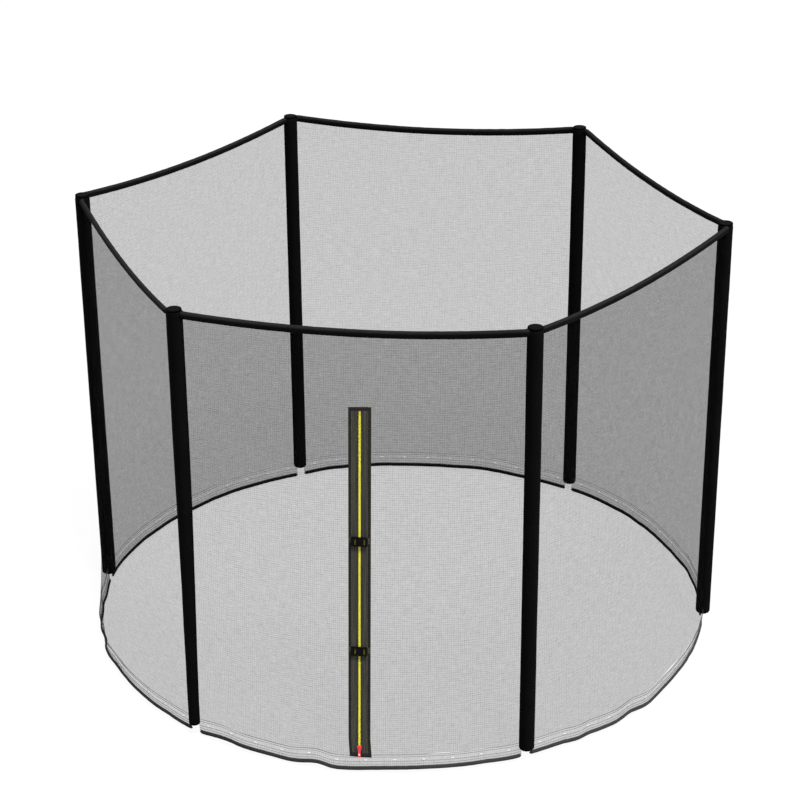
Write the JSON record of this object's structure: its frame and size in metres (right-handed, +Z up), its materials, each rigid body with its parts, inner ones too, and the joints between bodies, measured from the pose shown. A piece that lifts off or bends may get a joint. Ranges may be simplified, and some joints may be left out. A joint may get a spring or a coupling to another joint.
{
  "type": "trampoline safety enclosure",
  "caption": "Round trampoline safety enclosure: padded poles, net wall with padded rim and corded hem, zipped door strip with buckles.",
  "frame": {"origin": "centre of the circle through the pole axes, in the plane of the poles' feet", "axes": "+Z up along the poles, the zipped door faces -Y, +X to the right as the door is seen from outside"},
  "size_m": [2.4956, 2.4434, 1.6892],
  "materials": {
    "tube_steel": "galvanised",
    "foam": "closed-cell foam",
    "sleeve_fabric": "woven polyester",
    "band_fabric": "doubled mesh",
    "net": "fine knitted mesh",
    "cap_plastic": "moulded",
    "screw_steel": "zinc plated",
    "hem_fabric": "folded tape over a cord",
    "strip_fabric": "woven polyester",
    "binding_fabric": "woven tape",
    "zip_tape": "woven tape",
    "zip_teeth": "nylon coil",
    "stop_metal": "painted",
    "slider_metal": "painted",
    "pull_plastic": "moulded",
    "buckle_plastic": "moulded",
    "webbing": "woven webbing"
  },
  "bodies": {
    "enclosure": {"pole_tube_lower_1": "tube_steel", "pole_tube_lower_2": "tube_steel", "pole_tube_lower_3": "tube_steel", "pole_tube_lower_4": "tube_steel", "pole_tube_lower_5": "tube_steel", "pole_tube_lower_6": "tube_steel", "pole_tube_upper_1": "tube_steel", "pole_tube_upper_2": "tube_steel", "pole_tube_upper_3": "tube_steel", "pole_tube_upper_4": "tube_steel", "pole_tube_upper_5": "tube_steel", "pole_tube_upper_6": "tube_steel", "pole_foam_1": "foam", "pole_foam_2": "foam", "pole_foam_3": "foam", "pole_foam_4": "foam", "pole_foam_5": "foam", "pole_foam_6": "foam", "pole_sleeve_1": "sleeve_fabric", "pole_sleeve_2": "sleeve_fabric", "pole_sleeve_3": "sleeve_fabric", "pole_sleeve_4": "sleeve_fabric", "pole_sleeve_5": "sleeve_fabric", "pole_sleeve_6": "sleeve_fabric", "top_rim_1": "sleeve_fabric", "top_rim_2": "sleeve_fabric", "top_rim_3": "sleeve_fabric", "top_rim_4": "sleeve_fabric", "top_rim_5": "sleeve_fabric", "top_rim_6": "sleeve_fabric", "hem_band_1": "band_fabric", "hem_band_2": "band_fabric", "hem_band_3": "band_fabric", "hem_band_4": "band_fabric", "hem_band_5": "band_fabric", "hem_band_6": "band_fabric", "net_panel_2": "net", "net_panel_3": "net", "net_panel_4": "net", "net_panel_5": "net", "net_panel_6": "net", "net_door_left": "net", "net_door_right": "net", "pole_caps": "cap_plastic", "tube_screws": "screw_steel", "rim_cores": "foam", "hem_cords": "hem_fabric", "door_strip": "strip_fabric", "door_binding": "binding_fabric", "zip_tapes": "zip_tape", "zip_coil": "zip_teeth", "zip_stops": "stop_metal", "buckle_socket_lower": "buckle_plastic", "buckle_socket_upper": "buckle_plastic", "buckle_strap_lower": "webbing", "buckle_strap_upper": "webbing"},
    "slider": {"zip_slider": "slider_metal"},
    "pull": {"pull_tab": "pull_plastic"},
    "lower_plug": {"buckle_plug_lower": "buckle_plastic"},
    "upper_plug": {"buckle_plug_upper": "buckle_plastic"}
  },
  "joints": [
    {"name": "zip_slide", "type": "slide", "parent": "enclosure", "child": "slider", "axis": [0, 0.0922, 0.9957], "range_m": [0, 1.2685]},
    {"name": "pull_swing", "type": "hinge", "parent": "slider", "child": "pull", "pos_m": [0.026, -1.22088, 0.05752], "axis": [-1, 0, 0], "range_deg": [0, 150]},
    {"name": "lower_release", "type": "slide", "parent": "enclosure", "child": "lower_plug", "axis": [1, 0, 0], "range_m": [0, 0.02], "deforming": ["buckle_strap_lower"]},
    {"name": "upper_release", "type": "slide", "parent": "enclosure", "child": "upper_plug", "axis": [1, 0, 0], "range_m": [0, 0.02], "deforming": ["buckle_strap_upper"]}
  ]
}
